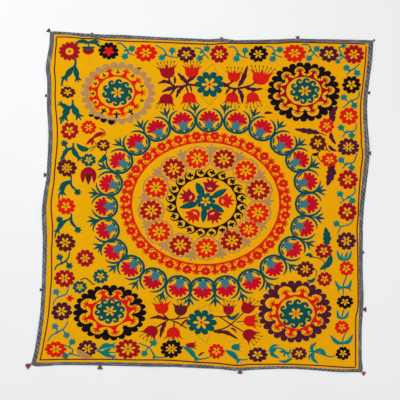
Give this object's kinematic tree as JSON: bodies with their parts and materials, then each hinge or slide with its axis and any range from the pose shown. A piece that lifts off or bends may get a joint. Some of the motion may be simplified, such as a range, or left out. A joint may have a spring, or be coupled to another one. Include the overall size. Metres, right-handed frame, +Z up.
{
  "type": "suzani embroidered textile",
  "caption": "Square cotton cover with silk suzani embroidery, a striped woven edging and small yarn tassels, lying flat and face up.",
  "frame": {"origin": "on the surface that the cloth lies on, under the middle of its outline", "axes": "+Z up, out of the embroidered face; +Y towards the top edge of the cover and +X towards its right edge, seen from above"},
  "size_m": [2.3133, 2.2953, 0.0113],
  "materials": {
    "ground": "matt woven cotton",
    "edging": "matt striped twill band",
    "yarn_rose": "matt wool yarn",
    "yarn_plum": "matt wool yarn",
    "yarn_crimson": "matt wool yarn",
    "yarn_brown": "matt wool yarn",
    "yarn_olive": "matt wool yarn",
    "thread_red": "silk embroidery thread, soft sheen",
    "thread_crimson": "silk embroidery thread, soft sheen",
    "thread_maroon": "silk embroidery thread, soft sheen",
    "thread_purple": "silk embroidery thread, soft sheen",
    "thread_black": "silk embroidery thread, soft sheen",
    "thread_teal": "silk embroidery thread, soft sheen",
    "thread_green": "silk embroidery thread, soft sheen",
    "thread_olive": "silk embroidery thread, soft sheen",
    "thread_blue": "silk embroidery thread, soft sheen",
    "thread_yellow": "silk embroidery thread, soft sheen",
    "thread_mauve": "faded silk embroidery thread, soft sheen"
  },
  "bodies": {
    "root": {"ground_cloth": "ground", "edging_left": "edging", "edging_top": "edging", "edging_right": "edging", "edging_bottom": "edging", "tassel_left_low": "yarn_rose", "tassel_left_mid": "yarn_rose", "tassel_left_high": "yarn_plum", "tassel_corner_tl": "yarn_rose", "tassel_top_left": "yarn_plum", "tassel_top_mid": "yarn_rose", "tassel_top_right": "yarn_rose", "tassel_corner_tr": "yarn_plum", "tassel_right_high": "yarn_plum", "tassel_right_mid": "yarn_rose", "tassel_right_low": "yarn_olive", "tassel_right_foot": "yarn_rose", "tassel_corner_br": "yarn_crimson", "tassel_bottom_right": "yarn_crimson", "tassel_bottom_left": "yarn_brown", "tassel_corner_bl": "yarn_crimson"}
  },
  "joints": []
}
